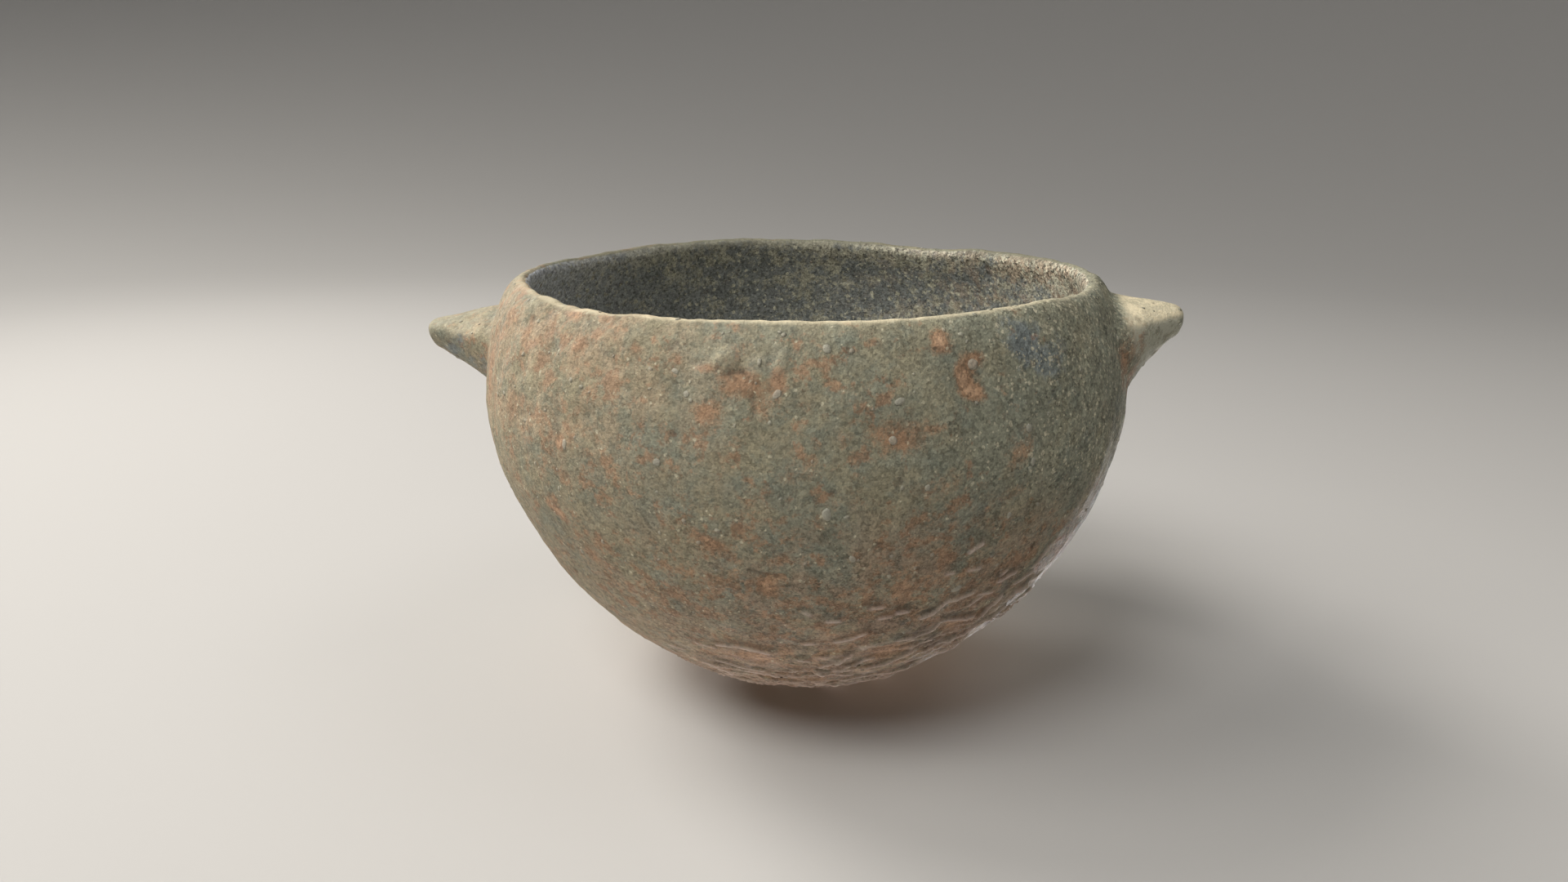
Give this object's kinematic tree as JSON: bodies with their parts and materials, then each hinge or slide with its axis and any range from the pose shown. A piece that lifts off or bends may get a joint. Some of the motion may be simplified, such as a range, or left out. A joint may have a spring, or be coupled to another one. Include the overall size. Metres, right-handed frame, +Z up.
{
  "type": "deep bowl",
  "caption": "Deep round-based bowl of coarse fired clay, built by hand, with a slightly closed mouth, an uneven rounded rim and blunt lugs just below it, for holding food or liquid.",
  "frame": {"origin": "middle of the small flat spot under the round base that the bowl stands on", "axes": "+Z up out of the mouth, +X towards the higher lug, -Y towards the side seen from the front"},
  "size_m": [0.232, 0.2, 0.1357],
  "materials": {
    "fired_clay": "matte"
  },
  "bodies": {
    "root": {"bowl": "fired_clay"}
  },
  "joints": []
}
